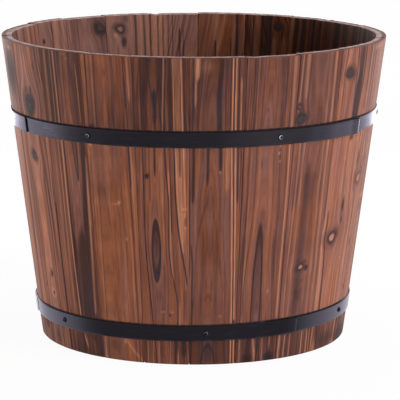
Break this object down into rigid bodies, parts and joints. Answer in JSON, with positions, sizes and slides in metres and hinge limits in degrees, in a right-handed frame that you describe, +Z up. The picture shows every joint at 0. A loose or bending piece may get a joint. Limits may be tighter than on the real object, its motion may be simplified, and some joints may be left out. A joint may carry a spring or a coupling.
{
  "type": "wooden barrel planter",
  "caption": "Round tapered planter of burnt wooden staves, open at the top, held by black steel hoops, with a slatted floor and drain holes.",
  "frame": {"origin": "on the ground, in the middle of the foot, which is the bottom centre of the whole planter", "axes": "+Z up along the planter's axis; the front faces -Y and +X is to the right seen from the front"},
  "size_m": [0.4509, 0.4507, 0.355],
  "materials": {
    "burnt_wood": "burnt and brushed softwood, satin stain",
    "floor_wood": "burnt softwood, unbrushed",
    "batten_wood": "sawn softwood, stained",
    "black_strap": "satin black paint",
    "black_screws": "black coated steel",
    "zinc_screws": "dull zinc"
  },
  "bodies": {
    "root": {"stave_01": "burnt_wood", "stave_02": "burnt_wood", "stave_03": "burnt_wood", "stave_04": "burnt_wood", "stave_05": "burnt_wood", "stave_06": "burnt_wood", "stave_07": "burnt_wood", "stave_08": "burnt_wood", "stave_09": "burnt_wood", "stave_10": "burnt_wood", "stave_11": "burnt_wood", "stave_12": "burnt_wood", "stave_13": "burnt_wood", "stave_14": "burnt_wood", "stave_15": "burnt_wood", "stave_16": "burnt_wood", "stave_17": "burnt_wood", "stave_18": "burnt_wood", "stave_19": "burnt_wood", "stave_20": "burnt_wood", "stave_21": "burnt_wood", "stave_22": "burnt_wood", "floor_board_1": "floor_wood", "floor_board_2": "floor_wood", "floor_board_3": "floor_wood", "floor_board_4": "floor_wood", "front_batten": "batten_wood", "back_batten": "batten_wood", "batten_screws": "zinc_screws", "upper_strap_1": "black_strap", "upper_strap_2": "black_strap", "upper_strap_3": "black_strap", "upper_hoop_screws": "black_screws", "lower_strap_1": "black_strap", "lower_strap_2": "black_strap", "lower_strap_3": "black_strap", "lower_hoop_screws": "black_screws"}
  },
  "joints": []
}
